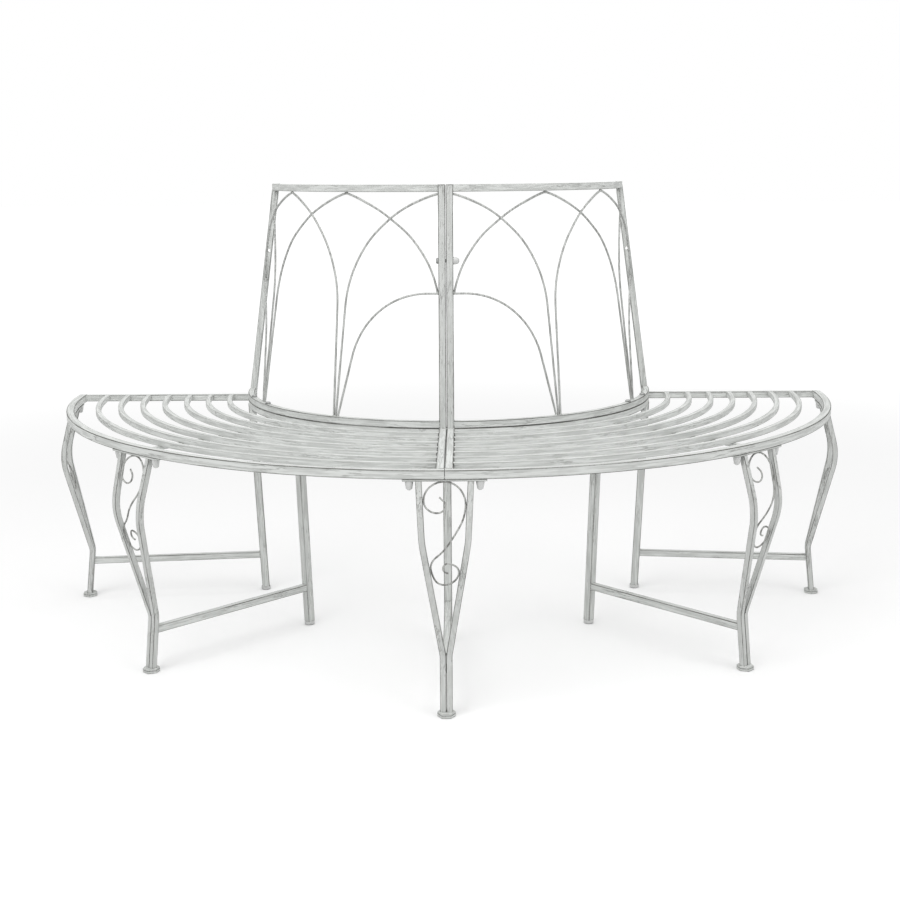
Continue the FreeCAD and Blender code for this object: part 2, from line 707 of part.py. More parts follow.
def scroll():
    """One bent wire that follows the leg bars in and out and touches their inner sides."""
    points = []
    headings = []
    for across, drop, heading in scroll_stations():
        height = PLATE_UNDERSIDE - drop
        radius = bars_radius(height)
        outward = bars_radius(height + 1) - radius
        angle = math.radians(heading)
        points.append(FreeCAD.Vector(across, -radius, height))
        climb = FreeCAD.Vector(0, -outward, 1).normalize()
        headings.append(ACROSS * math.cos(angle) + climb * math.sin(angle))
    return single(round_wire(smooth_arcs(points, headings), points[0], headings[0], SCROLL_WIRE))


def top_plate():
    half = PLATE_LENGTH / 2
    near = -PLATE_RADIUS - PLATE_WIDTH / 2
    plate = box(-half, half, near, near + PLATE_WIDTH, PLATE_UNDERSIDE, RAIL_UNDERSIDE)
    corners = [edge for edge in plate.Edges if abs(edge.tangentAt(0).z) > 0.5]
    plate = plate.makeFillet(PLATE_CORNER, corners)
    for side in (-1, 1):
        across = side * PLATE_BOLT_SPREAD
        plate = plate.cut(vertical_pin(across, -PLATE_RADIUS, BOLT_HOLE, PLATE_UNDERSIDE, RAIL_UNDERSIDE))
    return single(plate)


def outer_foot():
    """A six-sided foot in two layers with a groove between them and a bevelled top."""
    neck_top = FOOT_LOWER + FOOT_NECK
    corner_radius = FOOT_FLATS / math.sqrt(3)
    bevel_start = FOOT_HEIGHT - FOOT_BEVEL_HEIGHT
    bevel = Part.makeCone(
        corner_radius, FOOT_BEVEL_DIAMETER / 2, FOOT_BEVEL_HEIGHT, FreeCAD.Vector(0, 0, bevel_start), UP
    )
    bevelled = hex_prism(FOOT_FLATS, bevel_start, FOOT_HEIGHT).common(bevel)
    upper = hex_prism(FOOT_FLATS, neck_top, bevel_start).fuse(bevelled)
    neck = vertical_pin(0, 0, FOOT_NECK_DIAMETER, FOOT_LOWER, neck_top)
    foot = hex_prism(FOOT_FLATS, 0, FOOT_LOWER).fuse(neck).fuse(upper)
    return single(foot.removeSplitter().translated(FreeCAD.Vector(0, -FOOT_RADIUS, 0)))


def glide_cap():
    """A round cap under an inner leg, with a square stem up inside the tube."""
    cap = vertical_pin(0, 0, GLIDE_DIAMETER, 0, GLIDE_HEIGHT)
    rims = [edge for edge in cap.Edges if edge.Closed]
    cap = cap.makeFillet(GLIDE_ROUND, rims)
    half = LEG_TUBE_SIZE / 2 - LEG_TUBE_WALL - GLIDE_CLEARANCE
    stem = box(-half, half, -half, half, GLIDE_HEIGHT, GLIDE_HEIGHT + GLIDE_STEM)
    return single(cap.fuse(stem).translated(FreeCAD.Vector(0, -INNER_FOOT_RADIUS, 0)))


# Bolts, nuts and caps, drawn pointing up from the face that they bear on

def hex_bolt(length):
    shank = vertical_pin(0, 0, BOLT_DIAMETER, 0, length)
    return single(hex_prism(HEX_FLATS, -HEX_HEAD_HEIGHT, 0).fuse(shank))


def pan_bolt(length):
    radius = PAN_HEAD_DIAMETER / 2
    head = turned_profile([
        (0, 0),
        (radius, 0),
        (radius, -PAN_HEAD_HEIGHT + PAN_HEAD_EDGE),
        (radius - PAN_HEAD_EDGE, -PAN_HEAD_HEIGHT),
        (0, -PAN_HEAD_HEIGHT),
    ])
    return single(head.fuse(vertical_pin(0, 0, BOLT_DIAMETER, 0, length)))


def nut():
    hole = vertical_pin(0, 0, BOLT_DIAMETER, 0, NUT_HEIGHT)
    return single(hex_prism(HEX_FLATS, 0, NUT_HEIGHT).cut(hole))


def bolt_cap(length, hex_room, thread_room):
    """A tapered cap with a domed tip, hollow for the head or nut and the thread end that it covers."""
    cap = turned_profile([
        (0, 0),
        (CAP_MOUTH_RADIUS, 0),
        (CAP_MOUTH_RADIUS - CAP_SKIRT_TAPER, -CAP_SKIRT_LENGTH),
        (CAP_MOUTH_RADIUS - CAP_TIP_TAPER, -length + CAP_DOME_HEIGHT),
        (CAP_MOUTH_RADIUS - CAP_DOME_INSET, -length),
        (0, -length),
    ])
    hex_hollow = 2 * (HEX_CORNER_RADIUS + CAP_CLEARANCE)
    thread_hollow = BOLT_DIAMETER + 2 * CAP_CLEARANCE
    hex_end = -hex_room - CAP_CLEARANCE
    cap = cap.cut(vertical_pin(0, 0, hex_hollow, hex_end, 0))
    return single(cap.cut(vertical_pin(0, 0, thread_hollow, hex_end - thread_room, 0)))


def leg_bolts():
    length = PLATE_THICKNESS + RAIL_WALL + THREAD_PAST_WALL
    lift = FreeCAD.Vector(0, 0, PLATE_UNDERSIDE)
    bolts = [hex_bolt(length).translated(place + lift) for place in plate_bolt_places()]
    return Part.makeCompound(bolts)


def both_sides(shapes):
    return shapes + [mirrored(shape) for shape in shapes]


def upside_down(shape):
    return shape.rotated(ORIGIN, ACROSS, 180)


def on_seam_line(shape, azimuth, x):
    """A fastener laid along the joining holes of the two seam posts."""
    shape = shape.rotated(ORIGIN, FreeCAD.Vector(0, 1, 0), azimuth)
    return shape.translated(FreeCAD.Vector(x, -back_radius(JOINING_HOLE_HEIGHT), JOINING_HOLE_HEIGHT))


def panel_bolts():
    """Bolts down through the back and seat rails, and one across the two seam posts."""
    length = 2 * FRAME_SIZE + NUT_HEIGHT + THREAD_PAST_NUT
    lift = FreeCAD.Vector(0, 0, BOTTOM_RAIL_TOP)
    down = [upside_down(pan_bolt(length)).translated(place + lift) for place in panel_bolt_places()]
    post_side = SEAM_GAP / 2 + FRAME_SIZE
    cross = on_seam_line(pan_bolt(2 * post_side + NUT_HEIGHT + THREAD_PAST_NUT), 90, -post_side)
    return Part.makeCompound(both_sides(down) + [cross])


def panel_nuts():
    lift = FreeCAD.Vector(0, 0, INNER_RAIL_UNDERSIDE)
    below = [upside_down(nut()).translated(place + lift) for place in panel_bolt_places()]
    return Part.makeCompound(both_sides(below) + [on_seam_line(nut(), 90, SEAM_GAP / 2 + FRAME_SIZE)])


def bolt_caps():
    lift = FreeCAD.Vector(0, 0, PLATE_UNDERSIDE)
    leg_cap = bolt_cap(CAP_LENGTH, HEX_HEAD_HEIGHT, 0)
    caps = [leg_cap.translated(place + lift) for place in plate_bolt_places()]
    seam_cap = bolt_cap(SEAM_CAP_LENGTH, NUT_HEIGHT, THREAD_PAST_NUT)
    caps.append(on_seam_line(seam_cap, -90, SEAM_GAP / 2 + FRAME_SIZE))
    return Part.makeCompound(caps)


# The bench

def quarter_pieces():
    pieces = {
        "seat_outer_rail": seat_outer_rail(),
        "seat_inner_rail": seat_inner_rail(),
        "seat_end_rail": seat_end_rail(),
        "seat_seam_rail": seat_seam_rail(),
        "back_end_post": back_end_post(),
        "back_seam_post": back_seam_post(),
        "back_top_rail": back_top_rail(),
        "back_bottom_rail": back_bottom_rail(),
        "back_tracery": back_tracery(),
    }
    for number in range(SLAT_COUNT):
        pieces["seat_slat_%d" % (number + 1)] = seat_slat(number)
    return pieces


def leg_frame_pieces():
    return {
        "outer_leg": outer_leg(),
        "inner_leg": inner_leg(),
        "scroll": scroll(),
        "stretcher": stretcher(),
    }


def at_every_frame(shape):
    return Part.makeCompound([at_azimuth(shape, azimuth) for azimuth in FRAME_AZIMUTHS.values()])


def bench():
    nodes = {}
    for name, shape in quarter_pieces().items():
        nodes["right_" + name] = shape
        nodes["left_" + name] = mirrored(shape)
    nodes["seat_mid_bars"] = Part.makeCompound(both_sides([seat_mid_bar()]))
    for name, shape in leg_frame_pieces().items():
        for frame, azimuth in FRAME_AZIMUTHS.items():
            nodes["%s_%s" % (frame, name)] = at_azimuth(shape, azimuth)
    nodes["leg_top_plates"] = at_every_frame(top_plate())
    nodes["outer_feet"] = at_every_frame(outer_foot())
    nodes["glide_caps"] = at_every_frame(glide_cap())
    nodes["leg_bolts"] = leg_bolts()
    nodes["panel_bolts"] = panel_bolts()
    nodes["panel_nuts"] = panel_nuts()
    nodes["bolt_caps"] = bolt_caps()
    return nodes


os.makedirs("parts", exist_ok=True)
for node, shape in bench().items():
    shape.exportStep("parts/%s.step" % node)
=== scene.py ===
import math
import random

import bmesh
import bpy
from mathutils import Matrix, Vector
from mathutils.bvhtree import BVHTree


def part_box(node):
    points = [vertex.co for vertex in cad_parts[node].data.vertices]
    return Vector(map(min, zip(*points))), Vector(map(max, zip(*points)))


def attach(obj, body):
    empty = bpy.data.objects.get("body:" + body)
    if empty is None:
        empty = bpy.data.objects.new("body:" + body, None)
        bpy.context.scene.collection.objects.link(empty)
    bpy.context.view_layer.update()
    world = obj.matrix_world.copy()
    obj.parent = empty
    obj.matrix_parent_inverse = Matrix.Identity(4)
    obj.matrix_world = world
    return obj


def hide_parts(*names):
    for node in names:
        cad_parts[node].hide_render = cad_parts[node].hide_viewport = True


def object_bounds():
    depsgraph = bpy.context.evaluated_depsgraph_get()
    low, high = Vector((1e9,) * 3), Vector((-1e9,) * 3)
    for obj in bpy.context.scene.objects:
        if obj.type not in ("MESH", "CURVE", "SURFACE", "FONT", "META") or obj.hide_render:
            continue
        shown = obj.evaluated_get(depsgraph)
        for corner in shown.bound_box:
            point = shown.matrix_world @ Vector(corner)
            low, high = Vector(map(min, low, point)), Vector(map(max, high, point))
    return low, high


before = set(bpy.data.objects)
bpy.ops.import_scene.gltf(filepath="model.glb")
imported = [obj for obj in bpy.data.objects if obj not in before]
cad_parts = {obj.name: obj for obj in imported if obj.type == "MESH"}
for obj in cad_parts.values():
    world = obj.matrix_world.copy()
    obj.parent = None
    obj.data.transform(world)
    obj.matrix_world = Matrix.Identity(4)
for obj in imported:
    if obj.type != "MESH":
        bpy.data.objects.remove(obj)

cad_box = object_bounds()
random.seed(11)

# Camera, measured on the photograph: metres and degrees
CAMERA_PLACE = (0.0286, -2.9292, 0.8780)
CAMERA_YAW = -0.525
CAMERA_PITCH = 11.374
CAMERA_ROLL = -0.413
CAMERA_LENS = 56.55
SENSOR = 36.0
CLIP_NEAR = 0.01
CLIP_FAR = 200

# Light: what the sky gives, and how far the floor is lifted where it is seen, near the bench and far off
SKY_LIGHT = 0.58
SKY_COLOUR = (1, 1, 1, 1)
FLOOR_COLOUR = (0.85, 0.85, 0.85, 1)
FLOOR_LIFT_NEAR = 0.135
FLOOR_LIFT_FAR = 0.62
FLOOR_NEAR = 0.8
FLOOR_FAR = 5.0
FLOOR_SIZE = 60
FLOOR_DROP = 0.0005

# Lamps: name, place, size and power, all turned to one place
LAMPS = (
    ("key_lamp", (-1.6, -2.6, 3.0), 2.4, 50),
    ("fill_lamp", (2.4, -2.4, 2.0), 2.4, 24),
    ("top_lamp", (0, -0.3, 3.2), 3.0, 34),
)
LAMP_AIM = (0, -0.35, 0.35)

# Rounding of the square tube and bar: radius, steps across and fullness
TUBE_ROUND = 0.0014
BAR_ROUND = 0.0009
ROUND_STEPS = 3
ROUND_PROFILE = 0.5

# An edge turns more than the one angle, a flat less than the other, and points this near are one
EDGE_TURN = math.radians(40)
FLAT_TURN = math.radians(0.5)
MERGE_DISTANCE = 1e-6

# A long corner: how well it follows the piece, its least length, and how near a post's head it counts
ALONG_LEAST = 0.80
CORNER_LEAST = 0.0012
HEAD_DEPTH = 0.0001

# Colours, linear
PAINT_PALE = (0.668, 0.684, 0.666, 1)
PAINT_DULL = (0.590, 0.602, 0.588, 1)
PAINT_DEEP = (0.515, 0.528, 0.512, 1)
PAINT_WORN = (0.120, 0.122, 0.112, 1)
# The colour of the painted shade in corners between pieces and in the mouths of the caps
PAINTED_SHADE_DARK = (0.030, 0.030, 0.026, 1)
WIRE_PALE = (0.530, 0.540, 0.525, 1)
WIRE_DEEP = (0.300, 0.306, 0.295, 1)
SCROLL_PALE = (0.460, 0.466, 0.450, 1)
SCROLL_DEEP = (0.165, 0.165, 0.156, 1)
WELD_BARE = (0.020, 0.020, 0.018, 1)
WELD_DEEP = (0.100, 0.100, 0.094, 1)
WELD_DARK = (0.260, 0.265, 0.252, 1)
WELD_PALE = (0.600, 0.612, 0.596, 1)
CAP_PALE = (0.610, 0.616, 0.608, 1)
STEEL = (0.330, 0.335, 0.330, 1)

# How much a stain darkens a cap, and tarnish a bolt
STAIN_SHADE = 0.74
TARNISH_SHADE = 0.45

# The ring on which the paint's grain is laid out, and the share to which distance along it shrinks
RING_RADIUS = 0.60
DRAWN = 0.06
ROUND_GRAIN = (DRAWN, 1.0, 1.0)
RADIAL_GRAIN = (1.0, DRAWN, 1.0)
UPRIGHT_GRAIN = (1.0, 1.0, DRAWN)

# Noises: scale, detail and roughness
BRUSH = (240.0, 5.0, 0.6)
VEIN = (105.0, 6.0, 0.65)
CLOUD = (13.0, 3.0, 0.5)
FLECK = (420.0, 3.0, 0.6)
WELD_PATCH = (330.0, 4.0, 0.6)
WELD_GRAIN = (900.0, 3.0, 0.6)
CAP_GRAIN = (1500.0, 2.0, 0.5)
CAP_STAIN = (70.0, 4.0, 0.6)
TARNISH = (240.0, 5.0, 0.6)
TURNING = (1200.0, 2.0, 0.5)

# Spans: where a noise or a mask begins to show and where it is full
COAT_SPAN = (0.41, 0.56)
LINE_SPAN = (0.004, 0.030)
PATCH_SPAN = (0.42, 0.60)
SCUFF_SPAN = (0.60, 0.74)
RAGGED_SPAN = (0.42, 0.58)
FLECK_SPAN = (0.30, 0.62)
# The span of the painted shade in corners between pieces
PAINTED_SHADE_SPAN = (0.26, 0.68)
EDGE_SPAN = (0.002, 0.06)
WELD_SPAN = (0.38, 0.62)
STAIN_SPAN = (0.50, 0.76)
TARNISH_SPAN = (0.48, 0.72)

# Reliefs: strength and depth
PAINT_RELIEF = (0.30, 0.0004)
WELD_RELIEF = (0.40, 0.0004)
CAP_RELIEF = (0.15, 0.0002)
BOLT_RELIEF = (0.20, 0.0002)

# How near to a corner between two pieces the painted shade reaches, and how wide the worn edge of a plate is
PAINTED_SHADE_REACH = 0.0050
PAINTED_SHADE_SAMPLES = 4
PLATE_EDGE = 0.0012
EDGE_SAMPLES = 6

# Weld beads along edges: radius where painted and where bare, step along, sides and least length
BEAD_RADIUS = 0.0009
BARE_RADIUS = 0.0015
BEAD_STEP = 0.0017
BEAD_SIDES = 8
BEAD_LEAST = 0.004

# A bead's thickness at its ends and in between, as shares, and how upright those of a slat are
BEAD_END = 0.55
BEAD_RANGE = (0.75, 1.2)
UPRIGHT_LEAST = 0.7

# Weld lumps where wires touch and above a foot: radius, least distance apart and unevenness
WIRE_LUMP = 0.0027
SCROLL_LUMP = 0.0021
ANKLE_LUMP = 0.0017
LUMP_SPACING = 0.012
LUMP_DIVISIONS = 2
LUMP_RANGE = (0.86, 1.10)

# How near two pieces are where they are welded, and the step along a wire's edges
TOUCH = 0.00025
WIRE_TOUCH = 0.00050
ANKLE_TOUCH = 0.0014
WIRE_STEP = 0.0015

# The ray that tells a tube's outside from its hollow: how far off it starts and how long it is
RAY_START = 0.0002
RAY_LENGTH = 0.030


# Helpers for node materials

def new_material(name):
    material = bpy.data.materials.new(name)
    material.use_nodes = True
    tree = material.node_tree
    tree.nodes.clear()
    return material, tree


def add(tree, kind, **settings):
    node = tree.nodes.new(kind)
    for key, value in settings.items():
        setattr(node, key, value)
    return node


def math_node(tree, operation, first, second=None, clamp=False):
    node = add(tree, "ShaderNodeMath", operation=operation, use_clamp=clamp)
    for socket, value in zip(node.inputs, (first, second)):
        if isinstance(value, bpy.types.NodeSocket):
            tree.links.new(value, socket)
        elif value is not None:
            socket.default_value = value
    return node.outputs[0]


def noise(tree, vector, kind):
    scale, detail, roughness = kind
    node = add(tree, "ShaderNodeTexNoise")
    tree.links.new(vector, node.inputs["Vector"])
    node.inputs["Scale"].default_value = scale
    node.inputs["Detail"].default_value = detail
    node.inputs["Roughness"].default_value = roughness
    return node.outputs["Fac"]


def window(tree, value, span):
    """How far a value is across a span, held between 0 and 1."""
    low, high = span
    node = add(tree, "ShaderNodeMapRange")
    node.interpolation_type = "SMOOTHSTEP"
    tree.links.new(value, node.inputs["Value"])
    node.inputs["From Min"].default_value = low
    node.inputs["From Max"].default_value = high
    return node.outputs["Result"]


def blend(tree, share, first, second):
    node = add(tree, "ShaderNodeMix", data_type="RGBA")
    tree.links.new(share, node.inputs[0])
    for socket, value in ((node.inputs[6], first), (node.inputs[7], second)):
        if isinstance(value, bpy.types.NodeSocket):
            tree.links.new(value, socket)
        else:
            socket.default_value = value
    return node.outputs[2]


def even_vector(tree):
    """Plain coordinates of the bench, in metres."""
    return add(tree, "ShaderNodeTexCoord").outputs["Object"]


def round_the_tree(tree):
    """Distance round the tree, as on a ring of one size, distance from its axis, and height."""
    split = add(tree, "ShaderNodeSeparateXYZ")
    tree.links.new(even_vector(tree), split.inputs[0])
    x, y, z = split.outputs
    azimuth = math_node(tree, "ARCTAN2", x, math_node(tree, "MULTIPLY", y, -1.0))
    square = weighted(tree, (x, x), (y, y))
    return math_node(tree, "MULTIPLY", azimuth, RING_RADIUS), math_node(tree, "SQRT", square), z


def grain_vector(tree, grain):
    """Coordinates drawn out along the grain, given as shares of round, radial and upright."""
    joined = add(tree, "ShaderNodeCombineXYZ")
    for socket, value, share in zip(joined.inputs, round_the_tree(tree), grain):
        tree.links.new(math_node(tree, "MULTIPLY", value, share), socket)
    return joined.outputs[0]


def edge_mask(tree, radius):
    """1 on an outer edge and 0 on a flat, from how far a rounded normal leaves the true one."""
    rounded = add(tree, "ShaderNodeBevel", samples=EDGE_SAMPLES)
    rounded.inputs["Radius"].default_value = radius
    true = add(tree, "ShaderNodeNewGeometry").outputs["True Normal"]
    dot = add(tree, "ShaderNodeVectorMath", operation="DOT_PRODUCT")
    tree.links.new(rounded.outputs[0], dot.inputs[0])
    tree.links.new(true, dot.inputs[1])
    return window(tree, math_node(tree, "SUBTRACT", 1.0, dot.outputs["Value"]), EDGE_SPAN)


def painted_shade_mask(tree):
    """Painted shade: 1 deep in a corner between two pieces, where shade falls, and 0 out in the open."""
    near = add(tree, "ShaderNodeAmbientOcclusion", samples=PAINTED_SHADE_SAMPLES)
    near.inputs["Distance"].default_value = PAINTED_SHADE_REACH
    return window(tree, math_node(tree, "SUBTRACT", 1.0, near.outputs["AO"]), PAINTED_SHADE_SPAN)


def weighted(tree, *pairs):
    """A sum of values, each times its weight."""
    total = math_node(tree, "MULTIPLY", *pairs[0])
    for value, weight in pairs[1:]:
        total = math_node(tree, "ADD", total, math_node(tree, "MULTIPLY", value, weight))
    return total


def product(tree, first, *others):
    """Values multiplied together."""
    for value in others:
        first = math_node(tree, "MULTIPLY", first, value)
    return first


def darker(colour, shade):
    """A colour at a share of its brightness."""
    return tuple(shade * value for value in colour[:3]) + (1,)


def surface(tree, colour, roughness, height, relief, metallic=0.0, specular=0.36):
    """The shader with its colour, its roughness and a fine relief."""
    strength, depth = relief
    shader = add(tree, "ShaderNodeBsdfPrincipled")
    shader.inputs["Metallic"].default_value = metallic
    shader.inputs["Specular IOR Level"].default_value = specular
    tree.links.new(colour, shader.inputs["Base Color"])
    tree.links.new(roughness, shader.inputs["Roughness"])
    bump = add(tree, "ShaderNodeBump")
    bump.inputs["Strength"].default_value = strength
    bump.inputs["Distance"].default_value = depth
    tree.links.new(height, bump.inputs["Height"])
    tree.links.new(bump.outputs[0], shader.inputs["Normal"])
    tree.links.new(shader.outputs[0], add(tree, "ShaderNodeOutputMaterial").inputs[0])


# Paint: brushed on by hand, thin on the edges, streaked along the grain, with painted shade in the corners

def paint(name, grain, edge_radius=0.0, pale=PAINT_PALE, deep=PAINT_DEEP, streaks=0.55, edge_share=1.0):
    """Paint on a piece whose rounded corners are marked or, with an edge radius, found."""
    material, tree = new_material(name)
    drawn = grain_vector(tree, grain)
    even = even_vector(tree)
    brush = noise(tree, drawn, BRUSH)
    vein = noise(tree, drawn, VEIN)
    cloud = noise(tree, even, CLOUD)
    fleck = noise(tree, even, FLECK)

    coat = blend(tree, window(tree, weighted(tree, (brush, 0.75), (cloud, 0.25)), COAT_SPAN), deep, pale)

    off_level = math_node(tree, "ABSOLUTE", math_node(tree, "SUBTRACT", vein, 0.5))
    line = math_node(tree, "SUBTRACT", 1.0, window(tree, off_level, LINE_SPAN))
    patchy = window(tree, weighted(tree, (cloud, 0.6), (brush, 0.4)), PATCH_SPAN)
    scuff = window(tree, weighted(tree, (vein, 0.7), (cloud, 0.3)), SCUFF_SPAN)
    streak = math_node(tree, "MAXIMUM", product(tree, line, patchy, streaks), product(tree, scuff, 0.6))

    if edge_radius:
        edges = edge_mask(tree, edge_radius)
    else:
        edges = add(tree, "ShaderNodeAttribute", attribute_name="corner").outputs["Fac"]
    ragged = window(tree, weighted(tree, (vein, 0.75), (fleck, 0.25)), RAGGED_SPAN)
    worn_edge = product(tree, edges, weighted(tree, (ragged, 0.40), (patchy, 0.25), (1.0, 0.38)), edge_share)
    worn = math_node(tree, "MAXIMUM", worn_edge, streak, clamp=True)

    specks = window(tree, fleck, FLECK_SPAN)
    # Painted shade in corners between pieces, broken up by specks and ragged marks
    shaded_corners = product(tree, painted_shade_mask(tree), weighted(tree, (specks, 0.45), (ragged, 0.45)))
    colour = blend(tree, shaded_corners, blend(tree, worn, coat, PAINT_WORN), PAINTED_SHADE_DARK)

    roughness = math_node(tree, "ADD", 0.50, weighted(tree, (brush, 0.18), (worn, 0.10)))
    height = weighted(tree, (brush, 1.0), (fleck, 0.3), (worn, -0.6))
    surface(tree, colour, roughness, height, PAINT_RELIEF)
    return material


def weld_material(name, dark, pale):
    """A rough bead, darker where the brush missed it."""
    material, tree = new_material(name)
    even = even_vector(tree)
    patch = window(tree, noise(tree, even, WELD_PATCH), WELD_SPAN)
    roughness = weighted(tree, (patch, -0.15), (1.0, 0.68))
    colour = blend(tree, patch, dark, pale)
    surface(tree, colour, roughness, noise(tree, even, WELD_GRAIN), WELD_RELIEF)
    return material


def plastic_material():
    """Matt moulded caps with a fine grain, a few stains and painted shade in their mouths."""
    material, tree = new_material("cap_plastic")
    even = even_vector(tree)
    grain = noise(tree, even, CAP_GRAIN)
    stain = window(tree, noise(tree, even, CAP_STAIN), STAIN_SPAN)
    stained = blend(tree, stain, CAP_PALE, darker(CAP_PALE, STAIN_SHADE))
    # Painted shade where the cap meets the plate and other pieces
    colour = blend(tree, product(tree, painted_shade_mask(tree), 0.8), stained, PAINTED_SHADE_DARK)
    surface(tree, colour, weighted(tree, (grain, 0.16), (1.0, 0.42)), grain, CAP_RELIEF)
    return material


def steel_material():
    """Dull plated steel with turning marks and a few tarnished spots."""
    material, tree = new_material("bolt_steel")
    even = even_vector(tree)
    tarnish = window(tree, noise(tree, even, TARNISH), TARNISH_SPAN)
    colour = blend(tree, tarnish, STEEL, darker(STEEL, TARNISH_SHADE))
    roughness = weighted(tree, (tarnish, 0.30), (1.0, 0.34))
    surface(tree, colour, roughness, noise(tree, even, TURNING), BOLT_RELIEF, metallic=0.85)
    return material


MATERIALS = {
    "round": paint("paint_round", ROUND_GRAIN, edge_share=1.35),
    "radial": paint("paint_radial", RADIAL_GRAIN),
    "upright": paint("paint_upright", UPRIGHT_GRAIN),
    "streaked": paint("paint_streaked", UPRIGHT_GRAIN, pale=PAINT_DULL, streaks=0.70, edge_share=1.25),
    "plate": paint("paint_plate", ROUND_GRAIN, edge_radius=PLATE_EDGE, edge_share=1.6),
    "foot": paint("paint_foot", ROUND_GRAIN, edge_radius=PLATE_EDGE, edge_share=0.8),
    "light": paint("paint_light", ROUND_GRAIN, edge_share=0.5),
    "wire": paint("paint_wire", UPRIGHT_GRAIN, pale=WIRE_PALE, deep=WIRE_DEEP, streaks=0.3),
    "scroll": paint("paint_scroll", UPRIGHT_GRAIN, pale=SCROLL_PALE, deep=SCROLL_DEEP, streaks=0.3),
    "weld": weld_material("weld_painted", WELD_DARK, WELD_PALE),
    "scroll_weld": weld_material("weld_scroll", WELD_DEEP, SCROLL_PALE),
    "bare_weld": weld_material("weld_bare", WELD_BARE, WELD_DARK),
    "plastic": plastic_material(),
    "steel": steel_material(),
}

# Which finish and which rounding each kind of CAD node has, by the end of its name
FINISHES = (
    ("outer_rail", "round", TUBE_ROUND),
    ("seat_inner_rail", "round", TUBE_ROUND),
    ("back_bottom_rail", "round", TUBE_ROUND),
    ("back_top_rail", "light", TUBE_ROUND),
    ("end_rail", "radial", TUBE_ROUND),
    ("seam_rail", "radial", TUBE_ROUND),
    ("end_post", "upright", TUBE_ROUND),
    ("seam_post", "streaked", TUBE_ROUND),
    ("tracery", "wire", 0),
    ("outer_leg", "streaked", BAR_ROUND),
    ("inner_leg", "upright", TUBE_ROUND),
    ("scroll", "scroll", 0),
    ("stretcher", "radial", TUBE_ROUND),
    ("mid_bars", "radial", BAR_ROUND),
    ("top_plates", "plate", 0),
    ("outer_feet", "foot", 0),
    ("glide_caps", "plastic", 0),
    ("bolt_caps", "plastic", 0),
    ("leg_bolts", "steel", 0),
    ("panel_bolts", "steel", 0),
    ("panel_nuts", "steel", 0),
)


def finish_of(name):
    """The finish and the rounding of a CAD node; the slats' names end in their numbers."""
    if "seat_slat" in name:
        return "light", BAR_ROUND
    for ending, kind, rounding in FINISHES:
        if name.endswith(ending):
            return kind, rounding
    raise ValueError("no finish is given for " + name)


def give_material(piece, material):
    piece.data.materials.clear()
    piece.data.materials.append(material)


# Tubes and bars: the CAD piece with its long outer corners rounded, as drawn steel has them

def grain_direction(kind, place):
    """The direction in which a piece of this finish runs, at a place on it."""
    if kind in ("upright", "streaked"):
        return Vector((0, 0, 1))
    outward = Vector((place.x, place.y, 0)).normalized()
    return outward if kind == "radial" else Vector((-outward.y, outward.x, 0))


def is_long_corner(edge, kind, top, least):
    """Whether an edge is an outer corner along the piece, or round the closed head of a post."""
    if len(edge.link_faces) != 2 or not edge.is_convex or edge.calc_face_angle() < EDGE_TURN:
        return False
    if edge.calc_length() < least:
        return False
    first, second = (vertex.co for vertex in edge.verts)
    if min(first.z, second.z) > top - HEAD_DEPTH:
        return True
    along = grain_direction(kind, (first + second) / 2)
    return abs((second - first).normalized().dot(along)) > ALONG_LEAST


def plain_shape(node):
    """A CAD node's mesh, joined up and without the lines across its flats."""
    shape = bmesh.new()
    shape.from_mesh(node.data)
    bmesh.ops.remove_doubles(shape, verts=shape.verts, dist=MERGE_DISTANCE)
    bmesh.ops.dissolve_limit(shape, angle_limit=FLAT_TURN, verts=shape.verts, edges=shape.edges)
    return shape


def new_piece(name, shape, kind):
    """A piece of the bench from a finished shape."""
    data = bpy.data.meshes.new(name)
    shape.to_mesh(data)
    shape.free()
    piece = bpy.data.objects.new(name, data)
    bpy.context.scene.collection.objects.link(piece)
    give_material(piece, MATERIALS[kind])
    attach(piece, "root")
    return piece


def rounded_piece(node, kind, rounding):
    """A copy of a CAD node with its long corners rounded and marked, which stands for the node."""
    shape = plain_shape(node)
    corner = shape.faces.layers.float.new("corner")
    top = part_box(node.name)[1].z if node.name.endswith("_post") else math.inf
    least = 0 if node.name.endswith("outer_leg") else CORNER_LEAST
    corners = [edge for edge in shape.edges if is_long_corner(edge, kind, top, least)]
    made = bmesh.ops.bevel(
        shape, geom=corners, offset=rounding, segments=ROUND_STEPS, profile=ROUND_PROFILE,
        affect="EDGES", clamp_overlap=False
    )
    for face in made["faces"]:
        face[corner] = 1.0
    piece = new_piece(node.name + "_rounded", shape, kind)
    piece.data.shade_smooth()
    piece.data.set_sharp_from_angle(angle=EDGE_TURN)
    piece.modifiers.new("even_shading", "WEIGHTED_NORMAL").keep_sharp = True
    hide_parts(node.name)


def dress_nodes():
    """Every CAD node with its finish, and with a rounded copy where it is tube or bar."""
    for name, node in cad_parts.items():
        kind, rounding = finish_of(name)
        give_material(node, MATERIALS[kind])
        if rounding:
            rounded_piece(node, kind, rounding)


# Welds: a rough bead where a square edge stands on another piece, and a lump where a wire touches

WELD_NONE = ("bolts", "nuts", "caps", "feet", "plates")
WELD_KINDS = ("back", "seat", "leg", "bare", "wire", "scroll")
WELD_FINISHES = {"bare": "bare_weld", "scroll": "scroll_weld"}
BOLTED = (
    ("back_bottom_rail", "seat_inner_rail"),
    ("seam_rail", "seam_rail"),
    ("seam_post", "seam_post"),
)


def held(place):
    """A place, brought inside the bench's own box."""
    low, high = cad_box
    return Vector(max(least, min(most, value)) for value, least, most in zip(place, low, high))


